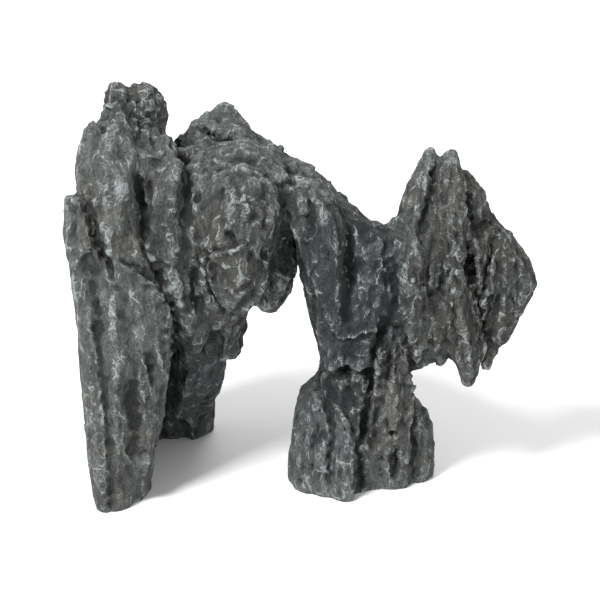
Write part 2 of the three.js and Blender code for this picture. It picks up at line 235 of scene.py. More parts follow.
GROOVES = [
    # the left wall: slits beside the blade, the slot, and the valleys between the columns
    ([(91, 216), (94, 228), (99, 240), (104, 250)], 4, 3),
    ([(93, 247), (98, 258), (105, 268), (112, 281), (118, 293)], 3, 3.5),
    ([(111, 256), (114, 266), (116, 280)], 4.5, 3),
    ([(132, 168), (136, 186), (140, 210)], 2.5, 3),
    ([(138, 170), (141, 188), (146, 206)], 4, 3),
    ([(127, 232), (129, 240), (131, 252)], 2, 2),
    ([(143, 212), (144, 232), (146, 250), (152, 264), (160, 278)], 4, 4),
    ([(152, 262), (162, 284), (170, 304), (174, 330), (173, 360)], 6, 6),
    ([(190, 172), (188, 206), (195, 229), (201, 246)], 6, 4),
    ([(200, 246), (196, 262), (192, 287), (198, 312)], 8, 5),
    ([(205, 264), (208, 276), (212, 290), (218, 300)], 4, 6),
    ([(153, 208), (166, 206), (177, 207)], 2.2, 2),
    ([(142, 262), (160, 262), (176, 268), (190, 277)], 2.2, 2),
    ([(244, 188), (246, 200), (248, 212)], 2, 2.5),
    ([(196, 214), (204, 208), (208, 202)], 2.2, 2.5),
    ([(222, 232), (232, 240), (234, 246)], 4, 2.5),
    ([(250, 247), (252, 256), (250, 262)], 4, 3),
    ([(268, 258), (269, 280), (262, 298)], 4, 3),
    ([(224, 285), (226, 298), (242, 288), (250, 280)], 1.8, 1.6),
    ([(222, 178), (219, 200), (223, 228)], 5, 2),
    ([(238, 178), (242, 202), (238, 226), (232, 248)], 5, 2.2),
    ([(264, 182), (267, 206), (260, 232)], 5, 2.4),
    # the plateau, the peak and the knob
    ([(198, 130), (210, 131), (221, 136), (238, 145)], 6, 6),
    ([(124, 113), (139, 119), (153, 121), (164, 115)], 3.5, 4),
    ([(153, 132), (154, 146)], 3, 4),
    ([(170, 138), (172, 150)], 3, 3),
    ([(252, 173), (258, 175), (262, 174)], 2.5, 3),
    ([(286, 168), (290, 178), (292, 186)], 5, 5),
    ([(204, 152), (212, 156)], 3, 2.5),
    ([(243, 158), (252, 162), (256, 168)], 3, 2),
    ([(310, 184), (320, 188), (334, 188)], 1.8, 1.8),
    ([(308, 192), (316, 192), (322, 201)], 1.8, 2),
    # the blade
    ([(74, 204), (80, 211), (86, 220)], 1.6, 1.5),
    ([(77, 288), (80, 302), (84, 316)], 1.8, 1.5),
    ([(107, 376), (111, 386), (117, 396)], 2.2, 2),
    ([(116, 414), (121, 428), (126, 442), (133, 458)], 3, 2),
    ([(145, 466), (143, 482)], 3, 3),
    ([(144, 352), (148, 366), (151, 388)], 5, 4),
    ([(126, 296), (128, 302)], 2.5, 2),
    # the arch's shoulder and the leg
    ([(350, 226), (349, 247), (349, 268), (352, 290)], 5, 5),
    ([(351, 288), (348, 304), (349, 324)], 7, 4),
    ([(331, 238), (337, 246), (345, 250)], 2.2, 3),
    ([(310, 224), (314, 230)], 1.8, 2),
    ([(369, 284), (370, 300), (371, 318)], 7, 3.5),
    ([(396, 262), (396, 276), (398, 312)], 4, 4.5),
    ([(385, 314), (381, 327), (383, 344)], 7, 6),
    ([(390, 240), (386, 248), (384, 256)], 3, 2.5),
    ([(391, 258), (393, 266)], 2.5, 3),
    ([(322, 330), (334, 346), (338, 366)], 7, 3),
    # the spires and the hanging shards
    ([(438, 160), (431, 172), (433, 186), (430, 200), (424, 218), (419, 246)], 5.5, 6),
    ([(412, 206), (409, 226)], 2, 2.5),
    ([(444, 208), (443, 222)], 1.8, 2.5),
    ([(469, 192), (469, 206), (472, 220)], 3.5, 6),
    ([(470, 224), (480, 224), (487, 221)], 2.5, 5),
    ([(462, 240), (470, 246), (471, 262), (476, 282), (482, 306), (487, 332), (489, 348)], 9, 5),
    ([(494, 238), (489, 262), (485, 282), (482, 300)], 3.5, 5),
    ([(444, 260), (443, 280), (443, 298)], 3.5, 7),
    ([(421, 240), (417, 250)], 4, 3),
    ([(456, 306), (454, 326), (458, 352)], 3.5, 5),
    ([(446, 300), (448, 316)], 2, 3),
    ([(492, 290), (490, 320)], 3, 4),
    ([(510, 292), (514, 312), (508, 330)], 2.5, 3),
    ([(498, 262), (500, 272)], 2, 2),
    ([(431, 334), (432, 352)], 2.2, 4),
    ([(469, 336), (473, 366)], 2, 2.5),
    ([(500, 276), (500, 300)], 1.8, 2.5),
    # the foot
    ([(322, 366), (334, 376), (346, 378), (360, 374), (369, 366)], 5, 2.5),
    ([(374, 362), (376, 348), (382, 334), (391, 325), (400, 331), (408, 346), (414, 364)], 5, 4.5),
    ([(319, 419), (315, 431), (312, 452)], 4, 4),
    ([(322, 404), (329, 417), (331, 437), (328, 460), (329, 488)], 5, 5),
    ([(367, 408), (367, 425), (364, 438), (357, 446), (361, 463), (363, 490)], 5, 6),
    ([(372, 426), (375, 436)], 2.5, 3),
    ([(384, 436), (397, 431)], 3, 4),
    ([(394, 446), (395, 463), (391, 480)], 4, 6),
    ([(413, 392), (414, 436), (415, 485)], 3, 3),
    ([(400, 380), (399, 396), (398, 412)], 3.5, 2.5),
]

RIDGES = [
    # the left wall
    ([(92, 226), (101, 247), (110, 260), (116, 268)], 2.5, 1.6),
    ([(146, 172), (146, 188), (150, 206)], 2.5, 3),
    ([(120, 206), (127, 196), (131, 220), (136, 238)], 2, 1.4),
    ([(143, 224), (158, 228), (172, 224)], 2.2, 1.4),
    ([(145, 160), (153, 157), (166, 160), (180, 165), (201, 166)], 3, 2),
    ([(201, 168), (209, 158), (226, 166), (255, 174), (280, 173)], 3, 1.8),
    ([(196, 252), (201, 262), (208, 266)], 2.5, 2.4),
    ([(250, 224), (256, 226), (262, 218)], 2, 1.6),
    ([(214, 190), (221, 184), (226, 190)], 2, 1.5),
    # the blade
    ([(90, 306), (89, 328), (95, 356), (98, 384), (102, 410), (104, 460), (105, 492), (109, 512)], 4, 2.6),
    ([(140, 366), (141, 386), (147, 404), (157, 421)], 3.5, 3),
    ([(164, 304), (165, 340), (165, 380), (159, 430), (155, 470)], 3.5, 1.6),
    ([(108, 380), (118, 398), (128, 424)], 3, 1.2),
    # the arch's shoulder and the leg
    (
        [(302, 206), (304, 200), (312, 200), (320, 206), (320, 218), (314, 224), (305, 219), (302, 206)],
        2.6,
        1.8,
    ),
    ([(281, 206), (288, 218), (297, 236), (304, 242), (316, 234), (318, 222)], 2.6, 1.4),
    ([(356, 236), (354, 226), (362, 222), (374, 226)], 2.4, 1.4),
    ([(352, 254), (362, 256), (372, 262), (374, 266), (364, 279), (356, 279), (353, 266)], 2.4, 1.8),
    ([(376, 256), (381, 264), (387, 272), (390, 306)], 2.4, 2),
    ([(384, 268), (394, 264), (397, 260)], 2, 1.4),
    ([(352, 240), (358, 244), (368, 256)], 2.2, 1.2),
    ([(376, 230), (377, 248)], 2, 1.2),
    ([(360, 282), (361, 296), (358, 310)], 2.2, 1.4),
    ([(326, 280), (334, 294), (338, 312), (342, 322)], 2.6, 1.6),
    ([(431, 262), (431, 280), (426, 296)], 2.2, 1.8),
    # the spires and the hanging shards
    ([(453, 158), (445, 166), (440, 180), (441, 206)], 2.6, 2),
    ([(453, 160), (458, 180), (462, 200), (466, 224)], 3, 1.4),
    ([(424, 166), (414, 188), (410, 206)], 3, 1.6),
    ([(452, 268), (461, 276), (468, 292), (474, 312), (482, 330)], 2.6, 2.4),
    ([(446, 290), (452, 278), (456, 268)], 2.4, 2),
    ([(494, 244), (491, 262), (489, 284)], 2.2, 2),
    ([(506, 262), (502, 292), (504, 318)], 3, 1.6),
    ([(469, 346), (470, 366), (472, 380)], 2.6, 1.6),
    # the foot
    ([(311, 386), (322, 370), (333, 362), (340, 353)], 3.5, 2.8),
    ([(309, 388), (318, 398), (323, 410), (328, 424), (330, 440)], 3.5, 2.8),
    ([(334, 414), (342, 426), (352, 444), (358, 466)], 3.5, 2.6),
    ([(391, 331), (381, 347), (378, 366), (380, 392), (371, 418), (371, 438)], 3.5, 3.2),
    ([(394, 340), (394, 372), (390, 397), (380, 420), (372, 436)], 3.5, 2.4),
    ([(402, 344), (409, 366), (411, 392)], 3, 1.6),
    ([(374, 453), (386, 441), (396, 436), (405, 432)], 3, 2.4),
    ([(345, 383), (353, 390), (360, 400), (366, 406)], 2.6, 2.2),
    ([(300, 412), (310, 404), (322, 410)], 2.6, 1.4),
]

# Steps in the surface: the part on the left of the way down the line stands out.

LEDGES = [
    # the blade stands in front of the wall, and its lower slab in front of the back leg
    ([(71, 194), (80, 200), (88, 214), (93, 240), (104, 262), (119, 294)], 9, 5),
    ([(119, 262), (136, 270), (153, 284), (164, 304), (169, 330), (169, 366)], 9, 5),
    # the nose
    ([(238, 313), (219, 299), (210, 284), (206, 268), (213, 254)], 9, 4.5),
    ([(210, 256), (222, 251), (234, 249), (240, 245), (252, 247)], 8, 3.5),
    ([(258, 250), (266, 264), (266, 282), (259, 299), (241, 313)], 9, 4.5),
    # the plateau's front edge, the peak's shelf and the knob's underside
    ([(203, 128), (214, 138), (228, 143), (244, 150)], 6, 3),
    ([(167, 116), (152, 124), (138, 122), (122, 112)], 5, 2),
    # the brow over the foot
    ([(380, 336), (372, 330), (356, 337), (339, 339), (330, 330)], 7, 4),
    # the spires: the block at the right, and what hangs below them
    ([(419, 248), (422, 224), (430, 206), (434, 184), (442, 164)], 6, 2.6),
    ([(472, 224), (469, 208), (468, 190)], 5, 2.6),
    ([(492, 219), (480, 224), (469, 226)], 5, 3.5),
    ([(464, 240), (468, 262), (474, 290), (482, 322), (488, 346)], 7, 3),
    ([(487, 300), (490, 270), (494, 238), (492, 222)], 6, 2.6),
    ([(424, 300), (438, 294), (446, 284), (451, 268)], 5, 1.8),
    # the foot's blade before its dome
    ([(369, 444), (369, 415), (377, 392), (376, 365), (379, 347), (389, 331)], 11, 5),
    ([(397, 332), (405, 352), (410, 372), (412, 396), (413, 430)], 7, 3),
    # the dome before the recess
    ([(352, 440), (338, 412), (324, 396), (318, 380), (334, 362), (344, 352)], 7, 2.5),
]

# Round scoops and bumps: middle and half-width in pixels, depth in mm, less than nothing for a bump.

SCOOPS = [
    ((311, 211), 9, 3),
    ((107, 174), 10, 2),
    ((120, 152), 10, 1.4),
    ((166, 190), 9, 2),
    ((164, 216), 8, 1.6),
    ((162, 240), 10, 2.4),
    ((198, 198), 5, 3.5),
    ((221, 192), 6, 2.4),
    ((228, 238), 7, 3),
    ((252, 217), 7, 2.4),
    ((186, 163), 5, 3),
    ((103, 129), 4, 3.5),
    ((138, 101), 4, 3),
    ((147, 114), 3.5, 3),
    ((128, 98), 4, 2),
    ((156, 103), 3, 2),
    ((127, 390), 12, 2),
    ((131, 404), 11, 2),
    ((136, 420), 9, 1.6),
    ((98, 328), 8, 1.6),
    ((78, 238), 8, 1.4),
    ((100, 308), 8, 1.6),
    ((186, 373), 7, 4),
    ((358, 266), 7, 3),
    ((364, 240), 8, 1.6),
    ((366, 229), 5, 1.4),
    ((372, 268), 6, 1.6),
    ((388, 282), 6, 2),
    ((420, 278), 11, 2.4),
    ((408, 300), 8, 1.6),
    ((352, 352), 13, 2.4),
    ((352, 394), 13, 4),
    ((357, 370), 10, -7),
    ((344, 358), 12, 3),
    ((392, 346), 9, -2.5),
    ((326, 438), 4, 2.5),
    ((346, 382), 4, -3),
    ((349, 409), 8, -1.5),
    ((388, 358), 5, 2),
    ((347, 458), 6, 1.6),
    ((458, 254), 6, -2.4),
    ((482, 206), 7, -2),
    ((336, 212), 11, 2),
    ((330, 232), 7, 1.8),
    ((480, 232), 8, 2),
]


# How the strokes are cut.
STEEP_WALL = 0.55  # how far a groove's steep wall reaches, in half-widths
SLOPING_WALL = 1.35  # and its sloping wall
DEEPEST_GROOVE = 5  # in mm
RAISED = 1.25  # how much higher ridges and ledges stand than their lists say
TAPER = 0.14  # the share of a line that fades out at each end
LEDGE_STEP = 0.8  # pixels across the step of a ledge
BY_SURFACE = 0.55  # how far the carver pushes along the surface's normal
BY_VIEW = 0.45  # and towards the camera of the photograph


def unsteady(x, y):
    """Places in the picture, moved a little, as the hand that carves is not steady."""
    moved_x = x + 0.9 * np.sin(y * 0.53 + x * 0.11) + 0.5 * np.sin(y * 1.31 + 2)
    moved_y = y + 0.9 * np.sin(x * 0.47 + 1) + 0.5 * np.sin(x * 1.17 + y * 0.2)
    return moved_x, moved_y


def carve(mesh):
    """Cuts the grooves, raises the ridges and scoops the hollows that the photograph shows."""
    points = points_of(mesh)
    normals = normals_of(mesh)
    x, y, show = seen(mesh)
    drawn_x, drawn_y = unsteady(x, y)
    rise = np.zeros(len(points))
    for strokes, sharp in ((GROOVES, 1.1), (RIDGES, 1.5), (LEDGES, 1.4)):
        for index, (line, half_width, height) in enumerate(strokes):
            margin = 1.4 * half_width + 4
            low, high = np.min(line, axis=0) - margin, np.max(line, axis=0) + margin
            near = np.flatnonzero((x > low[0]) & (x < high[0]) & (y > low[1]) & (y < high[1]) & (show > 0))
            away, along, side = off_line(drawn_x[near], drawn_y[near], line)
            ends = np.clip(np.minimum(along, 1 - along) / TAPER, 0, 1) ** 0.7
            if strokes is GROOVES:
                steep = side > 0 if index % 2 else side < 0
                reach = half_width * np.where(steep, STEEP_WALL, SLOPING_WALL)
                height = -min(height, DEEPEST_GROOVE)
            elif strokes is RIDGES:
                reach = half_width
                height = RAISED * height
            else:
                reach = half_width
                height = RAISED * height * np.clip(side / LEDGE_STEP, -1, 1)
            profile = np.clip(1 - away / reach, 0, 1) ** sharp
            rise[near] += height * profile * ends * show[near]
    for (middle_x, middle_y), half_width, height in SCOOPS:
        away = np.hypot(drawn_x - middle_x, (drawn_y - middle_y) * 0.8) / half_width
        rise -= height * np.clip(1 - away**2, 0, 1) * show
    way = BY_SURFACE * normals + BY_VIEW * TO_CAMERA
    way /= np.linalg.norm(way, axis=1, keepdims=True)
    set_points(mesh, points + way * rise[:, None] * MM)


# Nodes, for the relief and for the paint

class Wire:
    """A node's output. Sums written with it add their Math nodes."""

    def __init__(self, tree, socket):
        self.tree = tree
        self.socket = socket

    def _sum(self, operation, first, second):
        sums = self.tree.nodes.new("ShaderNodeMath")
        sums.operation = operation
        for place, value in zip(sums.inputs, (first, second)):
            feed(self.tree, place, value)
        return Wire(self.tree, sums.outputs[0])

    def __add__(self, other):
        return self._sum("ADD", self, other)

    def __radd__(self, other):
        return self._sum("ADD", other, self)

    def __sub__(self, other):
        return self._sum("SUBTRACT", self, other)

    def __rsub__(self, other):
        return self._sum("SUBTRACT", other, self)

    def __mul__(self, other):
        return self._sum("MULTIPLY", self, other)

    def __rmul__(self, other):
        return self._sum("MULTIPLY", other, self)

    def __pow__(self, other):
        return self._sum("POWER", self, other)


def feed(tree, place, value):
    """Links a wire to a socket, or sets the socket to a value."""
    if isinstance(value, Wire):
        tree.links.new(value.socket, place)
    else:
        place.default_value = value


def node(tree, kind, settings=None, values=None, out=0):
    """Any other node: its kind, its settings, and the values or wires of its sockets."""
    made = tree.nodes.new(kind)
    for name, value in (settings or {}).items():
        setattr(made, name, value)
    for name, value in (values or {}).items():
        feed(tree, made.inputs[name], value)
    return Wire(tree, made.outputs[out])


def vector(tree, operation, first, second, out=0):
    """Vector arithmetic. A SCALE takes a plain number as its second."""
    values = {0: first, "Scale" if operation == "SCALE" else 1: second}
    return node(tree, "ShaderNodeVectorMath", {"operation": operation}, values, out)


def eased(tree, value, low, high, start=0.0, end=1.0):
    """value between low and high, eased, as start to end."""
    return node(
        tree,
        "ShaderNodeMapRange",
        {"interpolation_type": "SMOOTHSTEP"},
        {"Value": value, "From Min": low, "From Max": high, "To Min": start, "To Max": end},
    )


def stretched(tree, place, size_mm, grain=1.0):
    """Coordinates counted in sizes, with the grain running up and down."""
    step = 1 / (size_mm * MM)
    return vector(tree, "MULTIPLY", place, (step, step, step / grain))


def noise(tree, place, detail=2.0, rough=0.5, out=0):
    return node(
        tree,
        "ShaderNodeTexNoise",
        {"noise_dimensions": "3D"},
        {"Vector": place, "Scale": 1.0, "Detail": detail, "Roughness": rough},
        out,
    )


def cells(tree, place, out=0):
    return node(tree, "ShaderNodeTexVoronoi", {"feature": "F1"}, {"Vector": place, "Scale": 1.0}, out)


def crags(tree, place, size_mm, grain, detail, rough=0.6):
    """Sharp crests at every size down from the first, from about 0.4 in the pits to about 2.1 on top."""
    return node(
        tree,
        "ShaderNodeTexNoise",
        {"noise_dimensions": "3D", "noise_type": "RIDGED_MULTIFRACTAL"},
        {
            "Vector": stretched(tree, place, size_mm, grain),
            "Scale": 1.0,
            "Detail": detail,
            "Roughness": rough,
            "Lacunarity": 2.0,
            "Offset": 1.0,
            "Gain": 2.0,
        },
    )


def facets(tree, place, size_mm, grain, turn, feature="F1"):
    """Chipped hollows with flat sides: 0 at each cell's middle, most along the edges between cells."""
    turned = node(
        tree,
        "ShaderNodeVectorRotate",
        {"rotation_type": "EULER_XYZ"},
        {"Vector": stretched(tree, place, size_mm, grain), "Rotation": turn},
    )
    return node(
        tree,
        "ShaderNodeTexVoronoi",
        {"feature": feature, "distance": "MINKOWSKI"},
        {"Vector": turned, "Scale": 1.0, "Exponent": FACET_EXPONENT},
    )


def pushed(tree, place, by_mm, size_mm):
    """Coordinates pushed about by a slow noise, so that nothing on them runs straight."""
    swirl = noise(tree, stretched(tree, place, size_mm), out=1)
    centred = vector(tree, "SUBTRACT", swirl, (0.5, 0.5, 0.5))
    return vector(tree, "ADD", place, vector(tree, "SCALE", centred, by_mm * MM * 2))


def warped(tree, place):
    """Coordinates for the chips and hollows, the same in the relief and in the paint."""
    return pushed(tree, pushed(tree, place, 4.0, 16.0), 1.1, 3.5)


# Patterns that relief and paint share: size in mm, stretch up and down, and for the hollows their turn.
LARGE_FACETS = (15, 1.9, (0.5, 0.3, 0.8))
SMALL_FACETS = (7, 1.7, (1.1, 0.2, 0.4))
CRAGS = (8, 2.4)
FACET_EXPONENT = 1.35  # between 1, for cells with corners, and 2, for round ones

# Patterns of the relief alone: size in mm, and stretch up and down.
LUMPS = (26, 1.5)
LARGE_CHIPS = (15, 1.8)
SMALL_CHIPS = (6.5, 1.6)
FLUTES = (9, 5.0)
SHAG = (4.5, 6.0)
CRUMBS = (4.2, 1.0)
GRIT = (3.2, 1.0)
RELIEF_PITS = (6.0, 2.6)
SCOOPED_PATCHES = (22, 1.0)
PITTED_PATCHES = (16, 1.0)
SHAG_HEIGHT = 1.8

# The relief's inputs, in mm.
RELIEF = {
    "Lump Height": 2.4,
    "Chip Height": 3.2,
    "Scoop Depth": 2.8,
    "Flute Height": 1.0,
    "Crumb Height": 1.6,
    "Pit Depth": 1.8,
}


def chips(tree, place, size_mm, grain):
    """Tilted flats with steps between them, one to a cell."""
    at = stretched(tree, place, size_mm, grain)
    tilt = cells(tree, at, out=1)
    middle = cells(tree, at, out=2)
    lean = vector(tree, "SUBTRACT", tilt, (0.5, 0.5, 0.5))
    return vector(tree, "DOT_PRODUCT", lean, vector(tree, "SUBTRACT", at, middle), out=1)


def waves(tree, place, size_mm, grain, detail):
    """Waves with sharp crests, from -1.5 to 0.5."""
    wave = noise(tree, stretched(tree, place, size_mm, grain), detail)
    return 0.5 - node(tree, "ShaderNodeMath", {"operation": "ABSOLUTE"}, {0: wave * 4.0 - 2.0})


def relief_height(tree, place, given, mask):
    """How far the relief lifts the surface, in mm."""
    bent = warped(tree, place)
    lump = noise(tree, stretched(tree, bent, *LUMPS), 1.0) - 0.5
    chip = chips(tree, bent, *LARGE_CHIPS) + 0.4 * chips(tree, bent, *SMALL_CHIPS)
    flute = waves(tree, bent, *FLUTES, 1.0)
    shag = waves(tree, bent, *SHAG, 2.0)
    scoop = facets(tree, bent, *LARGE_FACETS) + 0.25 * facets(tree, bent, *SMALL_FACETS)
    scoop = scoop + 0.25 * crags(tree, bent, *CRAGS, 2.0, 0.5)
    some_scoops = eased(tree, noise(tree, stretched(tree, place, *SCOOPED_PATCHES)), 0.35, 0.62, 0.25, 1.0)
    crumb = cells(tree, stretched(tree, bent, *CRUMBS)) ** 2.0 - 0.22
    grit = noise(tree, stretched(tree, place, *GRIT)) - 0.5
    pit = eased(tree, cells(tree, stretched(tree, bent, *RELIEF_PITS)), 0.12, 0.34, 1.0, 0.0)
    some_pits = eased(tree, noise(tree, stretched(tree, place, *PITTED_PATCHES)), 0.5, 0.64)
    height = given["Lump Height"] * lump
    height = height + given["Chip Height"] * (1.0 - 0.5 * mask["shaggy"]) * chip
    height = height + given["Scoop Depth"] * (1.0 - 0.7 * mask["shaggy"]) * some_scoops * (scoop - 1.05)
    height = height + given["Flute Height"] * flute
    height = height + given["Crumb Height"] * (mask["crumbly"] * crumb * 1.6 + 0.12 * grit)
    height = height * (1.0 - 0.5 * mask["calm"]) + SHAG_HEIGHT * mask["shaggy"] * shag
    height = height - given["Pit Depth"] * pit * (some_pits * 0.4 + mask["pitted"])
    return height * (1.0 - mask["grounded"])


def relief_tree(paint):
    """The stone's relief as one Geometry Nodes tree: lumps, chips, hollows, flutes, crumbs and pits."""
    tree = bpy.data.node_groups.new("stone_relief", "GeometryNodeTree")
    face = tree.interface
    face.new_socket("Geometry", in_out="INPUT", socket_type="NodeSocketGeometry")
    for name in RELIEF:
        face.new_socket(name, in_out="INPUT", socket_type="NodeSocketFloat")
    face.new_socket("Geometry", in_out="OUTPUT", socket_type="NodeSocketGeometry")
    start = tree.nodes.new("NodeGroupInput")
    given = {socket.name: Wire(tree, socket) for socket in start.outputs if socket.name}
    mask = {
        name: node(tree, "GeometryNodeInputNamedAttribute", {"data_type": "FLOAT"}, {"Name": name})
        for name in ("shaggy", "pitted", "calm", "crumbly", "grounded")
    }
    place = node(tree, "GeometryNodeInputPosition")
    rest = node(
        tree,
        "GeometryNodeStoreNamedAttribute",
        {"data_type": "FLOAT_VECTOR", "domain": "POINT"},
        {"Geometry": given["Geometry"], "Name": "rest", "Value": place},
    )
    height = relief_height(tree, place, given, mask) * MM
    push = vector(tree, "SCALE", node(tree, "GeometryNodeInputNormal"), height)
    moved = node(tree, "GeometryNodeSetPosition", None, {"Geometry": rest, "Offset": push})
    real = node(tree, "GeometryNodeRealizeInstances", None, {"Geometry": moved})
    painted = node(tree, "GeometryNodeSetMaterial", None, {"Geometry": real, "Material": paint})
    end = tree.nodes.new("NodeGroupOutput")
    tree.links.new(painted.socket, end.inputs[0])
    return tree


def with_relief(mesh, paint):
    """The mesh after the relief, as a plain mesh."""
    holder = held(mesh, "relief_holder")
    modifier = holder.modifiers.new("relief", "NODES")
    modifier.node_group = relief_tree(paint)
    for socket in modifier.node_group.interface.items_tree:
        if socket.name in RELIEF:
            modifier[socket.identifier] = RELIEF[socket.name]
    return applied(holder)


# Ovals in the picture where the stone is of a kind, or where it is painted darker for shade: middle and
# half-widths in pixels, and how much of it.

SHAGGY = ((470, 250), (78, 130))

PATCHES = {
    "pitted": [
        ((480, 290), (60, 100), 0.9),
        ((395, 400), (34, 80), 0.9),
        ((320, 450), (44, 60), 0.7),
        ((120, 440), (30, 60), 0.4),
    ],
    "calm": [
        ((112, 390), (56, 150), 1),
        ((345, 440), (70, 74), 1),
        ((235, 250), (40, 70), 0.5),
        ((100, 200), (36, 60), 0.6),
        ((350, 280), (46, 80), 0.6),
        ((160, 220), (26, 60), 0.5),
    ],
    "crumbly": [
        ((134, 100), (40, 26), 1),
        ((215, 130), (60, 30), 0.5),
    ],
    "warm": [
        ((475, 260), (70, 120), 1),
        ((396, 400), (30, 76), 0.7),
        ((232, 250), (40, 60), 0.75),
        ((120, 260), (50, 90), 0.5),
        ((130, 460), (34, 60), 0.6),
        ((136, 100), (34, 26), 0.5),
        ((180, 190), (30, 40), 0.5),
    ],
    # darker blue-grey: partly the stone's tint, partly painted shade on the arch, its vault, the back leg
    # and the foot
    "slate_and_shade": [
        ((350, 290), (66, 90), 1),
        ((284, 260), (26, 60), 0.8),
        ((200, 390), (46, 66), 0.8),
        ((330, 420), (46, 66), 0.6),
    ],
    # painted shade: the stone painted darker where shade falls, in recesses, between forms and round the
    # tip of the foot's blade
    "painted_shade": [
        # the wall, the knob and the nose
        ((134, 100), (36, 26), 0.36),
        ((164, 240), (26, 60), 0.3),
        ((192, 250), (10, 56), 0.35),
        ((232, 246), (42, 62), 0.38),
        # the arch's shoulder and the leg
        ((277, 250), (14, 44), 0.4),
        ((300, 250), (30, 60), 0.2),
        ((350, 280), (62, 84), 0.42),
        ((349, 262), (7, 44), 0.8),
        ((345, 318), (12, 22), 0.55),
        ((370, 306), (9, 20), 0.55),
        ((326, 300), (12, 40), 0.5),
        ((400, 312), (12, 20), 0.5),
        # the spires and the shards
        ((482, 292), (66, 84), 0.42),
        ((437, 196), (6, 36), 0.4),
        ((470, 210), (4, 24), 0.55),
        ((478, 228), (13, 5), 0.55),
        ((472, 268), (9, 30), 0.6),
        ((481, 312), (9, 30), 0.6),
        # round the tip of the foot's blade, and the foot
        ((380, 343), (5, 20), 0.7),
        ((395, 322), (15, 6), 0.6),
        ((415, 357), (6, 24), 0.65),
        ((350, 388), (24, 32), 0.4),
        ((372, 420), (7, 30), 0.5),
        ((362, 466), (7, 26), 0.5),
        ((394, 464), (6, 18), 0.45),
    ],
}


def blob(x, y, middle, half):
    """1 in the middle of an oval in the picture, easing to 0 at its rim."""
    away = np.hypot((x - middle[0]) / half[0], (y - middle[1]) / half[1])
    t = np.clip(1.35 - away, 0, 0.7) / 0.7
    return t * t * (3 - 2 * t)


def mark_patches(mesh, names):
    """The strongest oval at each point, for each kind."""
    x, y, _ = to_picture(points_of(mesh))
    for name in names:
        ovals = [share * blob(x, y, middle, half) for middle, half, share in PATCHES[name]]
        put_attribute(mesh, name, np.maximum.reduce(ovals))


def mark_regions(mesh):
    """Where the stone is shaggy, pitted, calm, crumbly, or held still at the ground."""
    points = points_of(mesh)
    x, y, _ = to_picture(points)
    put_attribute(mesh, "shaggy", np.clip(blob(x, y, *SHAGGY) - 0.2, 0, 1))
    put_attribute(mesh, "grounded", np.clip(1 - points[:, 2] / GROUND_BAND, 0, 1))
    mark_patches(mesh, ("pitted", "calm", "crumbly"))


# How far the surface bends where its marks are full, in mm.
SHARP_EDGE = 0.24
FULL_CREST = 1.4
FULL_HOLLOW = 3.5


def mark_wear_and_shade(mesh):
    """Edges that a dry brush reaches and hollows that a dark wash and painted shade fill, from how the
    surface bends; then the patches of tint and of painted shade.
    """
    points = points_of(mesh)
    normals = normals_of(mesh)
    links = Neighbours(mesh)
    close = links.smooth(points, 4)
    wide = links.smooth(close, 22)
    broad = links.smooth(wide, 60)
    edge, crest, swell = (
        np.einsum("ij,ij->i", points - base, normals) / MM for base in (close, wide, broad)
    )
    put_attribute(mesh, "edge", np.clip(links.smooth(edge, 2) / SHARP_EDGE, -1, 1))
    put_attribute(mesh, "crest", np.clip(crest / FULL_CREST, -1, 1))
    # sunk: broad hollows, where the paint puts dark wash and painted shade
    put_attribute(mesh, "sunk", np.clip(-swell / FULL_HOLLOW, -1, 1))
    mark_patches(mesh, ("warm", "slate_and_shade", "painted_shade"))


def fewer(mesh, ratio, hidden=None):
    """The mesh with a share of its triangles. Where points are named as hidden, only those go."""
    holder = held(mesh, "thin_holder")
    modifier = holder.modifiers.new("fewer", "DECIMATE")
    modifier.ratio = ratio
    if hidden is not None:
        group = holder.vertex_groups.new(name="hidden")
        group.add(np.flatnonzero(hidden).tolist(), 1.0, "REPLACE")
        modifier.vertex_group = group.name
        modifier.vertex_group_factor = 1.0
    return applied(holder)


def thinned(mesh):
    """The mesh under its limit: finer where the photograph shows it, and finer where it bends."""
    hidden = seen(mesh)[2] < 0.2
    mesh = fewer(mesh, 1 - hidden.mean() * (1 - SHARE_KEPT_BEHIND), hidden)
    mesh.calc_loop_triangles()
    count = len(mesh.loop_triangles)
    return fewer(mesh, MOST_TRIANGLES / count) if count > MOST_TRIANGLES else mesh


# The paint's colours.
DARK_STONE = (0.068, 0.074, 0.072, 1)
PALE_STONE = (0.114, 0.124, 0.119, 1)
BROWN = (0.104, 0.1, 0.086, 1)
# Darker blue-grey, partly the stone's tint and partly painted shade where the arch and the back leg lie in
# shade.
SLATE_AND_SHADE = (0.068, 0.076, 0.083, 1)
DRY_BRUSH = (0.335, 0.37, 0.368, 1)
# Near black: the dark wash, which also stands for painted shade in hollows, creases and pits.
WASH_AND_SHADE = (0.016, 0.018, 0.02, 1)

# The paint's own patterns: size in mm, and stretch up and down.
BROAD = (30, 1.0)
BLOTCHES = (9, 1.5)
SPECKS = (1.3, 1.0)
GRAIN = (0.6, 1.0)
STREAKS = (1.5, 7)
FIBRES = (2.4, 8)
FINE_CRAGS = (2.6, 1.6)
PAINT_PITS = (3.4, 1.6)
HAIRS = (3.2, 1.8, (0.3, 0.9, 0.2))


def some(tree, place, size_mm, low, high):
    """1 in patches of about a size, and 0 between them."""
    return eased(tree, noise(tree, stretched(tree, place, size_mm)), low, high)


def webs(tree, bent, size_mm, grain, turn, width):
    """Lines along the edges between the chipped hollows."""
    rim = facets(tree, bent, size_mm, grain, turn, "F2") - facets(tree, bent, size_mm, grain, turn)
    return eased(tree, rim, 0.0, width, 1.0, 0.0)


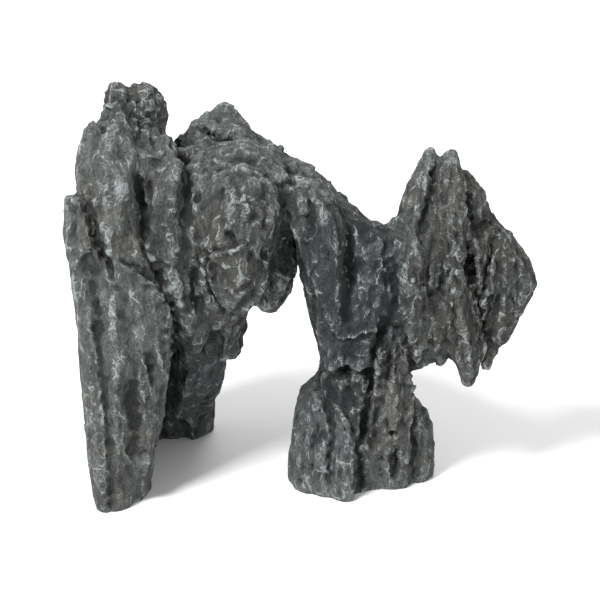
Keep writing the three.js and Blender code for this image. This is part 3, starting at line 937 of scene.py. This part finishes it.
def paint_patterns(tree, place, mark):
    """Every pattern of the paint by name."""
    bent = warped(tree, place)
    web = webs(tree, bent, *LARGE_FACETS, 0.06) * some(tree, place, 8, 0.4, 0.6)
    web = web + webs(tree, bent, *SMALL_FACETS, 0.1) * some(tree, place, 9, 0.46, 0.62) * 0.8
    pits = eased(tree, cells(tree, stretched(tree, bent, *PAINT_PITS)), 0.1, 0.26, 1.0, 0.0)
    return {
        "broad": noise(tree, stretched(tree, place, *BROAD), 3.0, 0.6),
        "patch": noise(tree, stretched(tree, place, *BLOTCHES), 3.0, 0.6),
        "speck": noise(tree, stretched(tree, place, *SPECKS), 3.0, 0.7),
        "grain": noise(tree, stretched(tree, place, *GRAIN), 2.0, 0.6),
        "streak": noise(tree, stretched(tree, bent, *STREAKS), 2.0, 0.6),
        "fibre": noise(tree, stretched(tree, bent, *FIBRES), 3.0, 0.6),
        "web": web,
        "hair": webs(tree, bent, *HAIRS, 0.2) * some(tree, place, 7, 0.44, 0.62),
        "vein": crags(tree, bent, *CRAGS, 6.0, 0.62),
        "fine": crags(tree, bent, *FINE_CRAGS, 4.0, 0.65),
        "pits": pits * some(tree, place, 8, 0.46, 0.6) * (0.25 + 0.75 * mark["pitted"]),
    }


def mixed(tree, share, first, second, kind="MIX"):
    settings = {"data_type": "RGBA", "blend_type": kind}
    return node(tree, "ShaderNodeMix", settings, {0: share, 6: first, 7: second}, out=2)


def bare_color(tree, mark, made):
    """The stone before the dry brush and the wash: grey, with brown patches, blue-grey patches that are
    partly painted shade, a fine mottle, and ovals of painted shade.
    """
    color = mixed(tree, eased(tree, made["patch"], 0.35, 0.68), DARK_STONE, PALE_STONE)
    color = mixed(tree, eased(tree, made["broad"] + 0.25 * mark["warm"], 0.5, 0.8) * 0.7, color, BROWN)
    # Blue-grey patches: tint, and painted shade on the arch, its vault and the back leg.
    color = mixed(tree, mark["slate_and_shade"] * 0.6, color, SLATE_AND_SHADE)
    mottle = 0.4 * made["speck"] + 0.3 * made["grain"] + 0.3 * made["streak"]
    tone = 0.5 + 0.92 * eased(tree, mottle, 0.34, 0.66)
    tone = tone * eased(tree, made["vein"], 0.5, 1.9, 0.8, 1.0)
    # Raised parts a little lighter, as a dry brush and as painted light, and hollows a little darker as
    # painted shade; the ovals of painted shade darken the stone where shade falls.
    tone = tone * (1.0 + 0.1 * mark["crest"]) * (1.0 - mark["painted_shade"])
    return mixed(tree, 1.0, color, tone, "MULTIPLY")


def dry_brush(tree, mark, made):
    """How much of the light brush there is: lines on raised edges, broken up by the specks."""
    brush = 1.2 * made["web"] + 0.6 * made["hair"]
    brush = brush + eased(tree, made["vein"], 1.95, 2.2) * 0.5
    brush = brush + eased(tree, made["fine"], 2.05, 2.35) * 0.3
    brush = brush * (0.35 + 0.65 * eased(tree, mark["edge"], -0.1, 0.6))
    brush = brush + eased(tree, mark["edge"], 0.4, 1.0) * 0.4
    return brush * eased(tree, 0.5 * made["speck"] + 0.5 * made["grain"], 0.36, 0.6, 0.45, 1.0)


def wash_and_painted_shade(tree, mark, made):
    """How much dark wash and painted shade there is: in hollows, beside fibres, and in pits and cracks.
    Part is a real dark wash, part is painted shade where these lie in shadow.
    """
    wash = eased(tree, mark["sunk"], 0.1, 0.9) * 0.8 + eased(tree, 0.0 - mark["edge"], 0.2, 1.0) * 0.5
    wash = wash + mark["shaggy"] * eased(tree, made["fibre"], 0.36, 0.48, 0.8, 0.0)
    wash = wash + made["pits"] * 0.7
    wash = wash + eased(tree, made["vein"], 0.3, 0.9, 0.6, 0.0)
    return wash + eased(tree, made["fine"], 0.3, 0.9, 0.4, 0.0)


def paint_bump(tree, mark, made):
    """The finest relief, as a bump, with its height in mm."""
    height = made["vein"] * 0.8 + made["fine"] * 0.5 + made["hair"] * 0.12
    height = height + (made["speck"] - 0.5) * 0.6 + (made["streak"] - 0.5) * 0.5
    height = height + mark["shaggy"] * (made["fibre"] - 0.5) * 2.4
    height = height + made["web"] * 0.2 - made["pits"] * 0.9
    return node(tree, "ShaderNodeBump", None, {"Strength": 1.0, "Distance": MM, "Height": height})


def stone_paint():
    """Matte grey cast stone with a dark wash and painted shade in the hollows and a light dry brush on the
    edges.
    """
    paint = bpy.data.materials.new("dry_brushed_stone")
    paint.use_nodes = True
    tree = paint.node_tree
    tree.nodes.clear()
    place = node(tree, "ShaderNodeAttribute", {"attribute_name": "rest"}, out=1)
    mark = {
        name: node(tree, "ShaderNodeAttribute", {"attribute_name": name}, out=2)
        for name in ("edge", "crest", "sunk", "warm", "slate_and_shade", "painted_shade", "pitted", "shaggy")
    }
    made = paint_patterns(tree, place, mark)
    brush = dry_brush(tree, mark, made)
    color = mixed(tree, eased(tree, brush, 0.1, 1.2) * 0.8, bare_color(tree, mark, made), DRY_BRUSH)
    # The dark wash, and painted shade in hollows, creases and pits.
    color = mixed(tree, eased(tree, wash_and_painted_shade(tree, mark, made), 0.0, 1.0) * 0.8, color, WASH_AND_SHADE)
    shader = node(
        tree,
        "ShaderNodeBsdfPrincipled",
        None,
        {
            "Base Color": color,
            "Roughness": eased(tree, brush, 0.0, 1.0, 0.94, 0.8),
            "Specular IOR Level": 0.3,
            "Normal": paint_bump(tree, mark, made),
        },
    )
    end = tree.nodes.new("ShaderNodeOutputMaterial")
    tree.links.new(shader.socket, end.inputs["Surface"])
    return paint


def cad_copy():
    """A welded copy of the CAD mesh of the rock, which itself stays as it is."""
    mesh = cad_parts["rock"].data.copy()
    welded = bmesh.new()
    welded.from_mesh(mesh)
    bmesh.ops.remove_doubles(welded, verts=welded.verts, dist=WELDED)
    welded.to_mesh(mesh)
    welded.free()
    mesh.materials.clear()
    return mesh


def without_slits(mesh):
    """The mesh with its narrow slits closed. The carver opens those that the photograph shows."""
    set_points(mesh, points_of(mesh) + normals_of(mesh) * CLOSED_GAP)
    mesh = remeshed(mesh, ROUGH_VOXEL, "swollen")
    set_points(mesh, points_of(mesh) - normals_of(mesh) * CLOSED_GAP)
    return mesh


def keep_in_box(mesh):
    """Keeps the mesh inside the box of the part, and its feet flat on the ground."""
    points = np.clip(points_of(mesh), np.array(cad_low), np.array(cad_high))
    points[points[:, 2] < FLAT_BELOW, 2] = 0
    set_points(mesh, points)


def rock():
    """The dressed rock, which stands for the CAD node rock."""
    paint = stone_paint()
    mesh = without_slits(remeshed(cad_copy(), ROUGH_VOXEL, "worn"))
    smooth(mesh, 8)
    carve(mesh)
    mesh = remeshed(mesh, FINE_VOXEL, "carved")
    smooth(mesh, 2)
    mark_regions(mesh)
    mesh = thinned(with_relief(mesh, paint))
    keep_in_box(mesh)
    mark_wear_and_shade(mesh)
    mesh.name = "rock_dressed"
    mesh.materials.clear()
    mesh.materials.append(paint)
    mesh.polygons.foreach_set("material_index", np.zeros(len(mesh.polygons), dtype=np.int32))
    mesh.polygons.foreach_set("use_smooth", np.ones(len(mesh.polygons), dtype=bool))
    mesh.update()
    piece = bpy.data.objects.new("rock_dressed", mesh)
    bpy.context.scene.collection.objects.link(piece)
    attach(piece, "root")
    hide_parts("rock")


# The studio: half the floor's width, and the lamps' names, places, sizes and powers in watts.
FLOOR = 6
LAMPS = [
    ("key", (-0.8, -0.9, 1.5), 0.5, 47),
    ("fill", (1.2, -1.0, 0.8), 1.2, 5),
    ("rim", (0.2, 1.2, 1.4), 1.0, 12),
]
LIT_POINT = Vector((0, 0, 0.12))
SKY_STRENGTH = 0.62


def pale_floor():
    mesh = bpy.data.meshes.new("floor")
    corners = [(-FLOOR, -FLOOR, 0), (FLOOR, -FLOOR, 0), (FLOOR, FLOOR, 0), (-FLOOR, FLOOR, 0)]
    mesh.from_pydata(corners, [], [(0, 1, 2, 3)])
    pale = bpy.data.materials.new("pale_floor")
    pale.use_nodes = True
    shader = pale.node_tree.nodes["Principled BSDF"]
    shader.inputs["Base Color"].default_value = (0.9, 0.9, 0.9, 1)
    shader.inputs["Roughness"].default_value = 0.9
    mesh.materials.append(pale)
    floor = bpy.data.objects.new("floor", mesh)
    bpy.context.scene.collection.objects.link(floor)


def lights():
    """A white sky, and soft lamps from above and both sides."""
    world = bpy.data.worlds.new("studio")
    world.use_nodes = True
    sky = world.node_tree.nodes["Background"]
    sky.inputs["Color"].default_value = (1, 1, 1, 1)
    sky.inputs["Strength"].default_value = SKY_STRENGTH
    bpy.context.scene.world = world
    for name, spot, size, power in LAMPS:
        data = bpy.data.lights.new(name, "AREA")
        data.size = size
        data.energy = power
        lamp = bpy.data.objects.new(name, data)
        bpy.context.scene.collection.objects.link(lamp)
        lamp.location = spot
        lamp.rotation_mode = "QUATERNION"
        lamp.rotation_quaternion = (LIT_POINT - Vector(spot)).to_track_quat("-Z", "Y")
    bpy.context.scene.view_settings.view_transform = "Standard"


photo_camera()
rock()
pale_floor()
lights()
